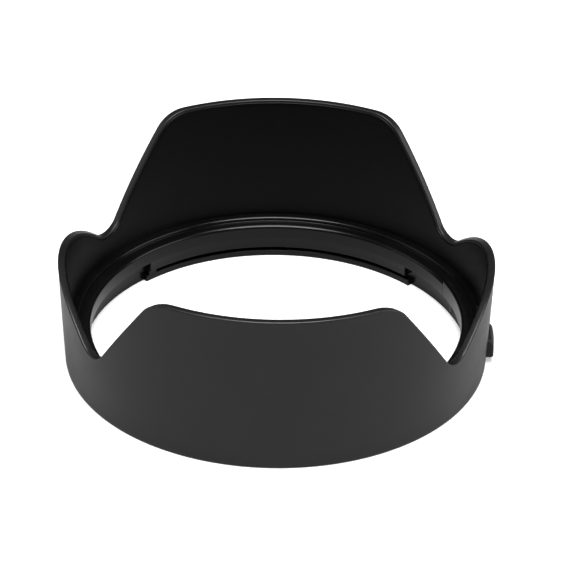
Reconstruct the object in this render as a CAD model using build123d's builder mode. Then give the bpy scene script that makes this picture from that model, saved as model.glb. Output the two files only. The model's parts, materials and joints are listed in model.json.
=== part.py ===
"""Petal lens hood with a quarter-turn bayonet and a press-button lock.

+Z runs along the optical axis from the mounting end to the petals, and the origin is the
centre of the mounting end. The release button is at +X, the two tall petals at +Y and -Y.
Sizes are in millimetres and angles in degrees.
"""

from build123d import *

import os
from math import asin, cos, degrees, radians, sin, sqrt, tan

# ---- Hood wall ----
mount_depth = 5.2  # from the lugs' tips out to the wall's outside, at the mounting end
hood_height = 37.7
flare = 0.054  # growth of the wall's radius for each unit of height
wall = 1.6
base_softening = 0.4

# ---- Petals: the four gaps between them are alike ----
valley_angle = 56.5  # from the middle of a tall petal round to the bottom of a gap
valley_height = 14.6
valley_radius = 5.2
flank_slope = 52.3
petal_corner_radius = 8.5
side_petal_height = 24.2
side_petal_slope = 39.0  # of the side petal's edge where it leaves the gap's round bottom

# ---- Lining of the petals ----
lining_thickness = 0.3
lining_margin = 0.45  # bare rim left around the lining

# ---- Bayonet ring ----
lug_radius = 41.4
lug_thickness = 1.4
lug_half_angle = 46.0
pad_half_angle = 45.0
stop_angle = 3.0
channel_height = 1.1
channel_depth = 1.1  # from the lugs' tips to the channel's floor
root_depth = 0.4  # how far a lug or pad is let into the ring behind it
band_step = 0.5  # how far the band stands inside the lugs' tips
entry_depth = 4.8
ledge_height = 9.0
shoulder_drop = 0.85  # from the ledge down to the shoulder
shoulder_run = 2.4  # from the band out to the step up to the ledge
shoulder_round = 0.8
step_round = 0.55
seat_lip_height = 0.8
seat_lip_width = 2.85  # lip and wall together
ring_gap = 0.05  # glue line between the ring and the hood wall

# ---- Release button ----
button_width = 8.0
button_bottom = 1.2
button_brow = 0.15  # of the button above its stem
button_corner = 1.4
button_stand = 1.49  # how far the button's face stands out of the wall
button_top_round = 2.2
button_bottom_round = 0.8
button_travel = 0.8
pocket_depth = 1.63
pocket_floor = 0.8
pocket_gap = 0.12
boss_side = 1.9  # wall of the boss beyond each side of the pocket
stem_width = 5.6
stem_height = 1.0
neck_width = 4.2
clip_corner = 0.4
clip_thickness = 0.35
clip_overhang = 1.3
nose_radius = 0.8
nose_reach = 0.2
nose_offset = -0.4

# ---- Lock lever, its pin and its spring ----
chamber_half_length = 17.95
chamber_floor_wall = 0.5
cover_wall = 0.6
cover_roof = 0.7
lever_gap = 0.15
lever_thickness = 1.0
lever_tail = 1.13  # how far the lever runs past the button's middle
pivot_inset = 0.4  # from the lever's outer face in to the pivot
pivot_y = 7.7
hub_radius = 1.3
pin_radius = 0.5
pin_bite = 1.2
pin_play = 0.03
spring_wire = 0.24
spring_pitch = 0.27
spring_turns = 3.5
spring_play = 0.12  # between the pin and the coil
tooth_y = 15.1
tooth_width = 2.4
tooth_flat = 0.2  # share of the tooth's width that its flat tip keeps
tooth_reach = 0.75  # how far the tooth stands into the opening
tooth_bottom = 1.9
tooth_play = 0.45  # beside the tooth, in its slot through the ring
tongue_length = 1.3
tongue_height = 1.0
screw_y = -12.4
screw_radius = 0.6
screw_head_radius = 1.1
screw_head_height = 0.45
screw_bite = 3.0
recess_length = 1.3  # of the cross in the screw's head
recess_width = 0.28
recess_depth = 0.2
fit_gap = 0.05  # between pieces of the lock that stay still

overshoot = 2.0  # how far a cutting shape runs past what it cuts

# ---- Radii that follow from the lens's bayonet ----
base_radius = lug_radius + mount_depth
channel_radius = lug_radius + channel_depth
root_radius = channel_radius + root_depth
band_radius = lug_radius - band_step
step_radius = band_radius + shoulder_run
seat_lip_radius = base_radius - seat_lip_width


def outer_radius(z):
    """Radius of the hood wall's outside at a height."""
    return base_radius + flare * z


def inner_radius(z):
    """Radius of the hood wall's inside at a height."""
    return outer_radius(z) - wall


def slice_of_ring(inner, outer, start, end):
    """Sketch of a flat ring between two radii and two angles, centred on the axis."""
    with BuildSketch(mode=Mode.PRIVATE) as flat:
        with BuildLine():
            outside = CenterArc((0, 0), outer, start, end - start)
            inside = CenterArc((0, 0), inner, start, end - start)
            Line(inside @ 0, outside @ 0)
            Line(outside @ 1, inside @ 1)
        make_face()
    return flat.sketch


def point_at(radius, angle):
    """Point in plan at a radius and an angle from +X."""
    return radius * cos(radians(angle)), radius * sin(radians(angle))


def angle_across(length, radius):
    """Angle from +X of a point at a radius whose distance along Y is the length."""
    return degrees(asin(length / radius))


def petal_gap(margin=0.0):
    """Sketch of the gap between a tall petal and a side petal, grown by a margin.

    It is drawn flat on the upright plane halfway between the two petals, with x measured
    from the tall petal's side to the side petal's. From the tall petal's top it goes round
    the corner, down the straight flank, round the valley, and up a parabola that levels
    out at the side petal's middle.
    """
    valley_x = outer_radius(valley_height) * sin(radians(valley_angle - 45))
    centre = Vector(valley_x, valley_height + valley_radius)
    slope, rise = radians(flank_slope), radians(side_petal_slope)
    radius = valley_radius + margin
    flank_end = centre + Vector(-sin(slope), -cos(slope)) * radius
    curve_start = centre + Vector(sin(rise), -cos(rise)) * radius
    top = hood_height - margin
    tip = Vector(outer_radius(side_petal_height) * sin(radians(45)), side_petal_height - margin)
    corner_x = flank_end.X - (top - flank_end.Y) / tan(slope)
    corner_radius = petal_corner_radius - margin
    tangent_length = corner_radius * tan(slope / 2)
    flat_end = Vector(corner_x - tangent_length, top)
    flank_start = Vector(corner_x, top) + Vector(cos(slope), -sin(slope)) * tangent_length
    pull_x = curve_start.X + (tip.Y - curve_start.Y) / tan(rise)
    far_x, far_y = tip.X + overshoot, hood_height + overshoot
    with BuildSketch(mode=Mode.PRIVATE) as gap:
        with BuildLine():
            TangentArc(flat_end, flank_start, tangent=(1, 0))
            Line(flank_start, flank_end)
            TangentArc(flank_end, curve_start, tangent=(cos(slope), -sin(slope)))
            Bezier(curve_start, (pull_x, tip.Y), tip)
            Polyline(tip, (far_x, tip.Y), (far_x, far_y), (flat_end.X, far_y), flat_end)
        make_face()
    return gap.sketch


# How near the axis and how far from it the wall under a gap lies, across the gap's plane
gap_near = inner_radius(side_petal_height) * cos(radians(45)) - overshoot
gap_far = outer_radius(hood_height) + overshoot
gap_reach = (gap_far - gap_near) / 2


def gap_planes():
    """The upright planes of the four gaps, each with x running towards its side petal."""
    planes = []
    for angle in (45, 135, 225, 315):
        x, y = point_at((gap_near + gap_far) / 2, angle)
        side = Vector(1 if x > 0 else -1, -1 if y > 0 else 1, 0)
        planes.append(Plane((x, y, 0), x_dir=side, z_dir=side.cross(Vector(0, 0, 1))))
    return planes


# ---- The lock's levels, from the ring's ----
shoulder_height = ledge_height - shoulder_drop
chamber_floor = entry_depth + chamber_floor_wall
chamber_top = ledge_height - cover_roof
lever_bottom = chamber_floor + lever_gap
lever_top = chamber_top - lever_gap

# ---- The button's places, from the wall and the chamber ----
stem_top = lever_bottom + stem_height
stem_middle = (lever_bottom + stem_top) / 2
button_top = stem_top + button_brow
button_middle = (button_bottom + button_top) / 2
button_height = button_top - button_bottom
button_face_radius = outer_radius(button_middle) + button_stand
pocket_width = button_width + 2 * pocket_gap
pocket_floor_x = outer_radius(button_middle) - pocket_depth
boss_half = pocket_width / 2 + boss_side
boss_face_x = pocket_floor_x - pocket_floor
cap_back_x = pocket_floor_x + button_travel + fit_gap
clip_back_x = boss_face_x - fit_gap - clip_thickness
nose_tip_x = clip_back_x - nose_reach

# ---- The lever's places, from the button's nose and the channel ----
chamber_inner = band_radius + cover_wall
lock_half_angle = angle_across(chamber_half_length, step_radius)
lever_outer = nose_tip_x - fit_gap
cover_outer = lever_outer + lever_gap
lever_inner = lever_outer - lever_thickness
lever_middle = (lever_inner + lever_outer) / 2
pivot_radius = lever_outer - pivot_inset
pivot_x = sqrt(pivot_radius**2 - pivot_y**2)
coil_radius = pin_radius + spring_play + spring_wire / 2
coil_height = spring_pitch * spring_turns + spring_wire
coil_bottom = (lever_bottom + lever_top - coil_height) / 2
tooth_tip = channel_radius - tooth_reach
tooth_angle = angle_across(tooth_y, channel_radius)
tooth_half_angle = degrees(tooth_width / 2 / channel_radius)
screw_radius_at = (band_radius + cover_outer) / 2
screw_point = point_at(screw_radius_at, angle_across(screw_y, screw_radius_at))

# ---- Hood shell: flared wall with four gaps, an inner lip at the base and the button's pocket ----
with BuildPart() as shell_hollow:
    with BuildSketch(Plane.XZ):
        with BuildLine():
            Polyline(
                (0, -overshoot),
                (seat_lip_radius, -overshoot),
                (seat_lip_radius, seat_lip_height),
                (inner_radius(seat_lip_height), seat_lip_height),
                (inner_radius(hood_height + overshoot), hood_height + overshoot),
                (0, hood_height + overshoot),
                close=True,
            )
        make_face()
    revolve(axis=Axis.Z)
    with BuildSketch(Plane.YZ.offset(boss_face_x)):
        with Locations((0, (seat_lip_height + ledge_height) / 2)):
            Rectangle(2 * boss_half, ledge_height - seat_lip_height)
    extrude(amount=wall * 2, mode=Mode.SUBTRACT)

with BuildPart() as hood_shell:
    with BuildSketch(Plane.XZ):
        with BuildLine():
            Polyline(
                (0, 0),
                (outer_radius(0), 0),
                (outer_radius(hood_height), hood_height),
                (0, hood_height),
                close=True,
            )
        make_face()
    revolve(axis=Axis.Z)
    add(shell_hollow.part, mode=Mode.SUBTRACT)
    for plane in gap_planes():
        with BuildSketch(plane):
            add(petal_gap())
        extrude(amount=gap_reach, both=True, mode=Mode.SUBTRACT)
    base_circles = hood_shell.edges().filter_by(GeomType.CIRCLE).group_by(Axis.Z)[0]
    fillet(base_circles.sort_by(SortBy.RADIUS)[-1], base_softening)
    with BuildSketch(Plane.YZ.offset(pocket_floor_x)):
        with Locations((0, button_middle)):
            RectangleRounded(pocket_width, button_height + 2 * pocket_gap, button_corner + pocket_gap)
    extrude(amount=wall * 2, mode=Mode.SUBTRACT)
    with BuildSketch(Plane.YZ.offset(boss_face_x - fit_gap)):
        with Locations((0, stem_middle)):
            Rectangle(stem_width + 2 * pocket_gap, stem_height + 2 * fit_gap)
    extrude(amount=wall * 2, mode=Mode.SUBTRACT)
hood_shell.part.label = "hood_shell"

# ---- Flock lining: a thin sleeve inside the petals, short of their rims ----
with BuildPart() as flock_lining:
    with BuildSketch(Plane.XZ):
        with BuildLine():
            lining_top = hood_height - lining_margin
            Polyline(
                (inner_radius(ledge_height), ledge_height),
                (inner_radius(lining_top), lining_top),
                (inner_radius(lining_top) - lining_thickness, lining_top),
                (inner_radius(ledge_height) - lining_thickness, ledge_height),
                close=True,
            )
        make_face()
    revolve(axis=Axis.Z)
    for plane in gap_planes():
        with BuildSketch(plane):
            add(petal_gap(lining_margin))
        extrude(amount=gap_reach, both=True, mode=Mode.SUBTRACT)
flock_lining.part.label = "flock_lining"

# ---- Bayonet ring: lugs, channels and a stepped shoulder, glued inside the hood wall ----
with BuildPart() as bayonet_ring:
    with BuildSketch(Plane.XZ):
        with BuildLine():
            outer_top = (inner_radius(ledge_height) - ring_gap, ledge_height)
            outer_low_z = seat_lip_height + ring_gap
            Polyline(
                outer_top,
                (inner_radius(outer_low_z) - ring_gap, outer_low_z),
                (seat_lip_radius - ring_gap, outer_low_z),
                (seat_lip_radius - ring_gap, 0),
                (channel_radius, 0),
                (channel_radius, entry_depth),
                (band_radius, entry_depth),
                (band_radius, shoulder_height - shoulder_round),
            )
            TangentArc(
                (band_radius, shoulder_height - shoulder_round),
                (band_radius + shoulder_round, shoulder_height),
                tangent=(0, 1),
            )
            Polyline(
                (band_radius + shoulder_round, shoulder_height),
                (step_radius, shoulder_height),
                (step_radius, ledge_height - step_round),
            )
            TangentArc(
                (step_radius, ledge_height - step_round),
                (step_radius + step_round, ledge_height),
                tangent=(0, 1),
            )
            Line((step_radius + step_round, ledge_height), outer_top)
        make_face()
    revolve(axis=Axis.Z)
    # at each tall petal a lug below and a pad above leave a channel for the lens's own lug,
    # and a stop closes one end of it, so that the hood turns one way only
    for middle in (90, 270):
        with BuildSketch(Plane.XY):
            add(slice_of_ring(lug_radius, root_radius, middle - lug_half_angle, middle + lug_half_angle))
        extrude(amount=lug_thickness)
        pad_start, pad_end = middle - pad_half_angle, middle + pad_half_angle
        with BuildSketch(Plane.XY.offset(lug_thickness + channel_height)):
            add(slice_of_ring(band_radius, root_radius, pad_start, pad_end))
        extrude(amount=entry_depth - lug_thickness - channel_height)
        with BuildSketch(Plane.XY.offset(lug_thickness)):
            add(slice_of_ring(lug_radius, root_radius, pad_end - stop_angle, pad_end))
        extrude(amount=channel_height)
    # seat of the lock cover
    for seat_bottom, seat_outer in ((entry_depth, chamber_inner), (chamber_top - fit_gap, cover_outer)):
        with BuildSketch(Plane.XY.offset(seat_bottom)):
            seat = (band_radius - overshoot, seat_outer + fit_gap)
            add(slice_of_ring(*seat, -lock_half_angle, lock_half_angle))
        extrude(amount=ledge_height, mode=Mode.SUBTRACT)
    # room for the lever and the button's clip
    clip_room_angle = angle_across(stem_width / 2 + clip_overhang + lever_gap, chamber_inner)
    with BuildSketch(Plane.XY.offset(chamber_floor)):
        add(slice_of_ring(band_radius, base_radius, -clip_room_angle, lock_half_angle))
    extrude(amount=chamber_top - chamber_floor, mode=Mode.SUBTRACT)
    with BuildSketch(Plane.XY.offset(tooth_bottom - lever_gap)):
        slot_half = tooth_half_angle + degrees(tooth_play / channel_radius)
        add(slice_of_ring(band_radius, base_radius, tooth_angle - slot_half, tooth_angle + slot_half))
    extrude(amount=chamber_floor - tooth_bottom + 2 * lever_gap, mode=Mode.SUBTRACT)
    with BuildSketch(Plane.YZ.offset(boss_face_x - ring_gap)):
        with Locations((0, ledge_height / 2)):
            Rectangle(2 * (boss_half + ring_gap), ledge_height + 2 * overshoot)
    extrude(amount=wall * 2, mode=Mode.SUBTRACT)
    with BuildSketch(Plane.XY.offset(chamber_floor - pin_bite)):
        with Locations((pivot_x, pivot_y)):
            Circle(pin_radius + pin_play / 2)
    extrude(amount=pin_bite, mode=Mode.SUBTRACT)
    with BuildSketch(Plane.XY.offset(chamber_top - fit_gap - screw_bite)):
        with Locations(screw_point):
            Circle(screw_radius + fit_gap)
    extrude(amount=screw_bite + overshoot, mode=Mode.SUBTRACT)
    end_wall = degrees(cover_wall / channel_radius)
    tongue_bottom = (chamber_floor + chamber_top - tongue_height) / 2
    tongue_inner, tongue_outer = chamber_inner + cover_wall, cover_outer - cover_wall
    with BuildSketch(Plane.XY.offset(tongue_bottom - fit_gap)):
        tongue_end = lock_half_angle + degrees(tongue_length / channel_radius)
        slot_start = lock_half_angle - end_wall
        slot_end = tongue_end + degrees(fit_gap / channel_radius)
        add(slice_of_ring(tongue_inner - fit_gap, tongue_outer + fit_gap, slot_start, slot_end))
    extrude(amount=tongue_height + 2 * fit_gap, mode=Mode.SUBTRACT)
bayonet_ring.part.label = "bayonet_ring"

# ---- Lock cover: closes the lock over and carries the band across it ----
with BuildPart() as lock_cover:
    cover_end = lock_half_angle - degrees(fit_gap / band_radius)
    with BuildSketch(Plane.XZ):
        with BuildLine():
            Polyline(
                (band_radius, ledge_height - shoulder_round),
                (band_radius, entry_depth + fit_gap),
                (chamber_inner, entry_depth + fit_gap),
                (chamber_inner, chamber_top),
                (cover_outer, chamber_top),
                (cover_outer, ledge_height),
                (band_radius + shoulder_round, ledge_height),
            )
            TangentArc(
                (band_radius, ledge_height - shoulder_round),
                (band_radius + shoulder_round, ledge_height),
                tangent=(0, 1),
            )
        make_face()
    revolve(axis=Axis.Z)
    with BuildSketch(Plane.XY):
        add(slice_of_ring(band_radius / 2, base_radius, -cover_end, cover_end))
    extrude(amount=hood_height, mode=Mode.INTERSECT)
    with BuildSketch(Plane.XY.offset(lever_bottom)):
        add(slice_of_ring(chamber_inner - fit_gap, tongue_outer, cover_end - end_wall, cover_end))
    extrude(amount=chamber_top - lever_bottom + fit_gap)
    with BuildSketch(Plane.XY.offset(tongue_bottom)):
        add(slice_of_ring(tongue_inner, tongue_outer, cover_end - end_wall, tongue_end))
    extrude(amount=tongue_height)
    with BuildSketch(Plane.XY.offset(chamber_top)):
        with Locations((pivot_x, pivot_y)):
            Circle(pin_radius + pin_play / 2)
    extrude(amount=cover_roof / 2, mode=Mode.SUBTRACT)
    with Locations(Plane.XY.offset(ledge_height)):
        with Locations(screw_point):
            head_room = screw_head_radius + fit_gap, screw_head_height + fit_gap
            CounterBoreHole(screw_radius + fit_gap, *head_room)
lock_cover.part.label = "lock_cover"

# ---- Cover screw: pan head with a cross recess ----
with BuildPart() as cover_screw:
    head_bottom = ledge_height - screw_head_height
    shank_end = chamber_top - screw_bite
    with BuildSketch(Plane.XY.offset(shank_end)):
        with Locations(screw_point):
            Circle(screw_radius)
    extrude(amount=head_bottom - shank_end)
    with BuildSketch(Plane.XY.offset(head_bottom)):
        with Locations(screw_point):
            Circle(screw_head_radius)
    extrude(amount=screw_head_height - fit_gap)
    with BuildSketch(Plane.XY.offset(ledge_height - fit_gap)):
        with Locations(screw_point):
            Rectangle(recess_length, recess_width)
            Rectangle(recess_width, recess_length)
    extrude(amount=-recess_depth, mode=Mode.SUBTRACT)
cover_screw.part.label = "cover_screw"

# ---- Release button: cap in the shell's pocket, stem through its floor, nose on the lever ----
with BuildPart() as release_button:
    with BuildSketch(Plane.YZ.offset(cap_back_x)):
        with Locations((0, button_middle)):
            RectangleRounded(button_width, button_height, button_corner)
    extrude(amount=button_face_radius - cap_back_x + overshoot)
    with BuildSketch(Plane.XZ):
        with BuildLine():
            inside_x = cap_back_x - overshoot
            Polyline(
                (button_face_radius - button_bottom_round, button_bottom),
                (inside_x, button_bottom),
                (inside_x, button_top),
                (button_face_radius - button_top_round, button_top),
            )
            TangentArc(
                (button_face_radius - button_top_round, button_top),
                (button_face_radius, button_top - button_top_round),
                tangent=(1, 0),
            )
            Line(
                (button_face_radius, button_top - button_top_round),
                (button_face_radius, button_bottom + button_bottom_round),
            )
            TangentArc(
                (button_face_radius, button_bottom + button_bottom_round),
                (button_face_radius - button_bottom_round, button_bottom),
                tangent=(0, -1),
            )
        make_face()
    revolve(axis=Axis.Z, mode=Mode.INTERSECT)
    with BuildSketch(Plane.YZ.offset(clip_back_x)):
        with Locations((0, stem_middle)):
            Rectangle(stem_width, stem_height)
    extrude(amount=cap_back_x + fit_gap - clip_back_x)
    with BuildSketch(Plane.YZ.offset(clip_back_x)):
        for side in (-1, 1):
            with Locations((side * (stem_width + neck_width) / 4, stem_middle)):
                Rectangle((stem_width - neck_width) / 2, stem_height)
    extrude(amount=clip_thickness + fit_gap, mode=Mode.SUBTRACT)
    with BuildSketch(Plane.XY.offset(lever_bottom)):
        with Locations((nose_tip_x + nose_radius, nose_offset)):
            Circle(nose_radius)
    extrude(amount=stem_height)
release_button.part.label = "release_button"

# ---- Retaining clip: slides down over the stem's neck behind the pocket's floor ----
with BuildPart() as retaining_clip:
    with BuildSketch(Plane.YZ.offset(clip_back_x)):
        with Locations((0, (lever_bottom + lever_top) / 2)):
            RectangleRounded(stem_width + 2 * clip_overhang, lever_top - lever_bottom, clip_corner)
        slot_height = stem_height + fit_gap + overshoot
        with Locations((0, lever_bottom - overshoot + slot_height / 2)):
            Rectangle(neck_width + 2 * fit_gap, slot_height, mode=Mode.SUBTRACT)
    extrude(amount=clip_thickness)
retaining_clip.part.label = "retaining_clip"

# ---- Lock lever: an arm under the button, a hub on the pin, and a tooth in the opening ----
with BuildPart() as lock_lever:
    with BuildSketch(Plane.XY.offset(lever_bottom)):
        tail_angle = -angle_across(lever_tail, lever_middle)
        add(slice_of_ring(lever_inner, lever_outer, tail_angle, tooth_angle + tooth_half_angle))
        with Locations((pivot_x, pivot_y)):
            Circle(hub_radius)
    extrude(amount=lever_top - lever_bottom)
    with BuildSketch(Plane.XY.offset(tooth_bottom)):
        tooth_start, tooth_end = tooth_angle - tooth_half_angle, tooth_angle + tooth_half_angle
        tip_half_angle = tooth_half_angle * tooth_flat
        with BuildLine():
            Polyline(
                point_at(tooth_tip, tooth_angle - tip_half_angle),
                point_at(channel_radius, tooth_start),
                point_at(lever_outer, tooth_start),
                point_at(lever_outer, tooth_end),
                point_at(channel_radius, tooth_end),
                point_at(tooth_tip, tooth_angle + tip_half_angle),
                close=True,
            )
        make_face()
    extrude(amount=lever_bottom - tooth_bottom + fit_gap)
    with BuildSketch(Plane.XY.offset(coil_bottom - fit_gap)):
        with Locations((pivot_x, pivot_y)):
            Circle(coil_radius + spring_wire / 2 + spring_play)
    extrude(amount=coil_height + 2 * fit_gap, mode=Mode.SUBTRACT)
    with BuildSketch(Plane.XY.offset(lever_bottom)):
        with Locations((pivot_x, pivot_y)):
            Circle(pin_radius + pin_play)
    extrude(amount=lever_top - lever_bottom, mode=Mode.SUBTRACT)
lock_lever.part.label = "lock_lever"

# ---- Lever pin ----
with BuildPart() as lever_pin:
    with BuildSketch(Plane.XY.offset(chamber_floor - pin_bite + fit_gap)):
        with Locations((pivot_x, pivot_y)):
            Circle(pin_radius)
    extrude(amount=chamber_top - chamber_floor + pin_bite + cover_roof / 2 - 2 * fit_gap)
lever_pin.part.label = "lever_pin"

# ---- Lever spring: a small torsion coil round the pin, between the lever's two ears ----
with BuildPart() as lever_spring:
    with BuildLine() as coil:
        Helix(
            pitch=spring_pitch,
            height=spring_pitch * spring_turns,
            radius=coil_radius,
            center=(pivot_x, pivot_y, coil_bottom + spring_wire / 2),
        )
    with BuildSketch(Plane(origin=coil.line @ 0, z_dir=coil.line % 0)):
        Circle(spring_wire / 2)
    sweep(path=coil.line)
lever_spring.part.label = "lever_spring"

os.makedirs("parts", exist_ok=True)
for piece in (
    hood_shell,
    flock_lining,
    bayonet_ring,
    lock_cover,
    cover_screw,
    release_button,
    retaining_clip,
    lock_lever,
    lever_pin,
    lever_spring,
):
    export_step(piece.part, f"parts/{piece.part.label}.step")
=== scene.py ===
"""Looks of the petal lens hood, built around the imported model.

Sizes are in metres, written as millimetres times MM, in the model's own frame: the optical
axis is +Z, the mounting end lies at z = 0, the release button is at +X and the tall petals
are at +Y and -Y. Angles round the axis are in degrees from +X.
"""

import json
from math import atan2, cos, degrees, pi, radians, sin, tan

import bmesh
import bpy
import numpy as np
from mathutils import Matrix, Vector


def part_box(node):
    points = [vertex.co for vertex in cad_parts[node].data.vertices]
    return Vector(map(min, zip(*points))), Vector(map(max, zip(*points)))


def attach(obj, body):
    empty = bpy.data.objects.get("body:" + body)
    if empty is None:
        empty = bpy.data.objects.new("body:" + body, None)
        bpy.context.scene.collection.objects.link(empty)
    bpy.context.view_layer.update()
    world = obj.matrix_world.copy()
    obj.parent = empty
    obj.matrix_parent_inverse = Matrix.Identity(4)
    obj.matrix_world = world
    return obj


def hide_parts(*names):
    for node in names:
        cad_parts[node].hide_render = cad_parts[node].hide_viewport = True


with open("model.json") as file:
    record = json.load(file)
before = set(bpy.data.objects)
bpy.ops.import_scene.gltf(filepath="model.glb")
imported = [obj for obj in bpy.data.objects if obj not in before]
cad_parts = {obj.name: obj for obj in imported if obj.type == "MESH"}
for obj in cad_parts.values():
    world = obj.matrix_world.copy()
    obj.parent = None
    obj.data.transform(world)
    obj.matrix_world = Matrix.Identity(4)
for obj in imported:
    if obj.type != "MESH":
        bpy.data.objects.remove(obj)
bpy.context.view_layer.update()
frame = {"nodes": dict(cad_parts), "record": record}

MM = 0.001
MERGE = 0.001 * MM  # points nearer than this become one

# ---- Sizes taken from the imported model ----
MOUNTS = {mount["name"]: mount for mount in frame["record"]["mounts"]}
BAND_RADIUS = MOUNTS["front_band"]["dims"]["r_mm"] * MM
LEDGE_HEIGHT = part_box("bayonet_ring")[1].z
HOOD_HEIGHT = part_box("hood_shell")[1].z

# ---- Hood wall ----
FLARE = 0.054
BASE_RADIUS = 46.6 * MM
WALL = 1.6 * MM
BASE_SOFTENING = 0.4 * MM
SEAT_LIP_HEIGHT = 0.8 * MM
SEAT_LIP_RADIUS = BASE_RADIUS - 2.85 * MM
OUTER_RIM_ROUND = 0.38 * MM
INNER_RIM_ROUND = 0.25 * MM

# ---- Petals ----
VALLEY_ANGLE = 56.5
VALLEY_HEIGHT = 14.6 * MM
VALLEY_RADIUS = 5.2 * MM
FLANK_SLOPE = 52.3
PETAL_CORNER_RADIUS = 8.5 * MM
SIDE_PETAL_HEIGHT = 24.2 * MM
SIDE_PETAL_SLOPE = 39.0
LINING_MARGIN = 0.45 * MM
LINING_THICKNESS = 0.3 * MM

# ---- Bayonet ring ----
LUG_RADIUS = BAND_RADIUS + 0.5 * MM
LUG_THICKNESS = 1.4 * MM
LUG_HALF_ANGLE = 46.0
PAD_HALF_ANGLE = 45.0
STOP_ANGLE = 3.0
CHANNEL_HEIGHT = 1.1 * MM
CHANNEL_RADIUS = LUG_RADIUS + 1.1 * MM
ROOT_RADIUS = CHANNEL_RADIUS + 0.4 * MM
ENTRY_DEPTH = 4.8 * MM
SHOULDER_HEIGHT = LEDGE_HEIGHT - 0.85 * MM
STEP_RADIUS = BAND_RADIUS + 2.4 * MM
SHOULDER_ROUND = 0.8 * MM
STEP_ROUND = 0.55 * MM
MOULD_ROUND = 0.12 * MM  # softening of the mouldings' other corners
GLUE_GAP = 0.05 * MM
SKIN = 0.01 * MM  # keeps joined or cut surfaces from lying exactly on each other

# ---- Lock ----
CLIP_LOW, CLIP_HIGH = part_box("retaining_clip")
BOSS_FACE = CLIP_HIGH.x + GLUE_GAP
LEVER_GAP = 0.15 * MM
CHAMBER_FLOOR = ENTRY_DEPTH + 0.5 * MM
CHAMBER_TOP = LEDGE_HEIGHT - 0.7 * MM
CHAMBER_INNER = BAND_RADIUS + 0.6 * MM
COVER_OUTER = CLIP_LOW.x - 0.25 * MM + LEVER_GAP  # behind the button's nose
COVER_END = 24.45
COVER_WALL = 0.6 * MM
TONGUE_END = 26.2
TONGUE_HEIGHT = 1.0 * MM
CLIP_ROOM_ANGLE = 5.9
SCREW_HEAD_HEIGHT = 0.45 * MM
TOOTH_ANGLE = 20.8
TOOTH_SLOT_HALF_ANGLE = 2.2
TOOTH_SLOT_BOTTOM = 1.75 * MM

# ---- Release button ----
BUTTON_LOW, BUTTON_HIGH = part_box("release_button")
BUTTON_WIDTH = BUTTON_HIGH.y - BUTTON_LOW.y
BUTTON_CORNER = 1.4 * MM
BUTTON_TOP_ROUND = 2.2 * MM
BUTTON_BOTTOM_ROUND = 0.8 * MM
BUTTON_SIDE_ROUND = 0.45 * MM
BUTTON_BROW = 0.15 * MM  # from the stem's top to the cap's top
BUTTON_TRAVEL = 0.8 * MM
RIB_PITCH = 1.0 * MM
RIB_DEPTH = 0.14 * MM
RIB_SIDE_MARGIN, RIB_SIDE_FADE = 1.2 * MM, 0.5 * MM
RIB_END_MARGIN, RIB_END_FADE = 1.5 * MM, 0.6 * MM
POCKET_GAP = 0.12 * MM
STEM_WIDTH = 5.6 * MM
STEM_HEIGHT = 1.0 * MM
STEM_BOTTOM = CHAMBER_FLOOR + LEVER_GAP
NECK_WIDTH = 4.2 * MM
NOSE_RADIUS = 0.8 * MM
NOSE_OFFSET = -0.4 * MM
BOSS_HALF_WIDTH = BUTTON_WIDTH / 2 + POCKET_GAP + 1.9 * MM
POCKET_FLOOR = 0.8 * MM

# ---- View, its angles in degrees ----
LENS = 247.2  # focal length in millimetres
VIEW_DISTANCE = 0.8787
VIEW_ELEVATION = 32.365
VIEW_AZIMUTH = 0.5
VIEW_PAN = -0.1691
VIEW_TILT = 0.9174
VIEW_ROLL = 0.6615

# ---- Stage ----
FLOOR_REACH = 6.0
FLOOR_DROP = 0.05 * MM
FLOOR_MIRRORED = 0.46  # how pale the floor is where the hood mirrors it
FLOOR_SEEN = 0.9
FLOOR_GLOW = 0.35
SURROUND = 0.08
LIGHT_TARGET = (0, 0, 0.02)
SOFT_BOXES = (  # name, place, size, watts
    ("top_box", (0, -0.35, 1.1), (0.8, 0.8), 24),
    ("left_box", (-1.1, 0.1, 0.45), (0.8, 0.9), 1.9),
    ("right_box", (1.1, -0.2, 0.45), (0.8, 0.9), 6),
)


# ======================================================================
# Meshes
# ======================================================================


def make_mesh(name, points, quads, caps=()):
    """A smooth-shaded mesh object from an array of points, an array of quads and any cap outlines.

    The signed volume under the faces, seen from the middle of the points, is the sum of each
    face's middle dotted with its area vector, and all faces are turned round if it is negative.
    """
    corners = points[quads] - points.mean(0)
    area = np.cross(corners[:, 2] - corners[:, 0], corners[:, 3] - corners[:, 1]) / 2
    inward = (corners.mean(1) * area).sum() < 0
    faces = (quads[:, ::-1] if inward else quads).tolist()
    faces += [list(cap)[::-1] if inward else list(cap) for cap in caps]
    mesh = bpy.data.meshes.new(name)
    mesh.from_pydata(points, [], faces)
    mesh.validate()
    piece = bpy.data.objects.new(name, mesh)
    bpy.context.scene.collection.objects.link(piece)
    return piece


def grid_quads(rows, columns, wrap_rows, wrap_columns):
    """Quads of a grid of rows by columns, numbered row by row, joined end to end where it wraps."""
    row, column = np.meshgrid(
        np.arange(rows if wrap_rows else rows - 1),
        np.arange(columns if wrap_columns else columns - 1),
        indexing="ij",
    )
    next_row, next_column = (row + 1) % rows, (column + 1) % columns
    quads = np.stack(
        (
            row * columns + column,
            row * columns + next_column,
            next_row * columns + next_column,
            next_row * columns + column,
        ),
        -1,
    )
    return quads.reshape(-1, 4)


def end_caps(rows, count):
    """The first and the last of some rows of points, as the outlines of two flat ends."""
    return range(count)[::-1], range((rows - 1) * count, rows * count)


def round_the_axis(radius, height, angle):
    """Points at a radius from the optical axis, an angle round it and a height."""
    return np.stack((radius * np.cos(angle), radius * np.sin(angle), height + 0 * angle), -1)


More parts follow.
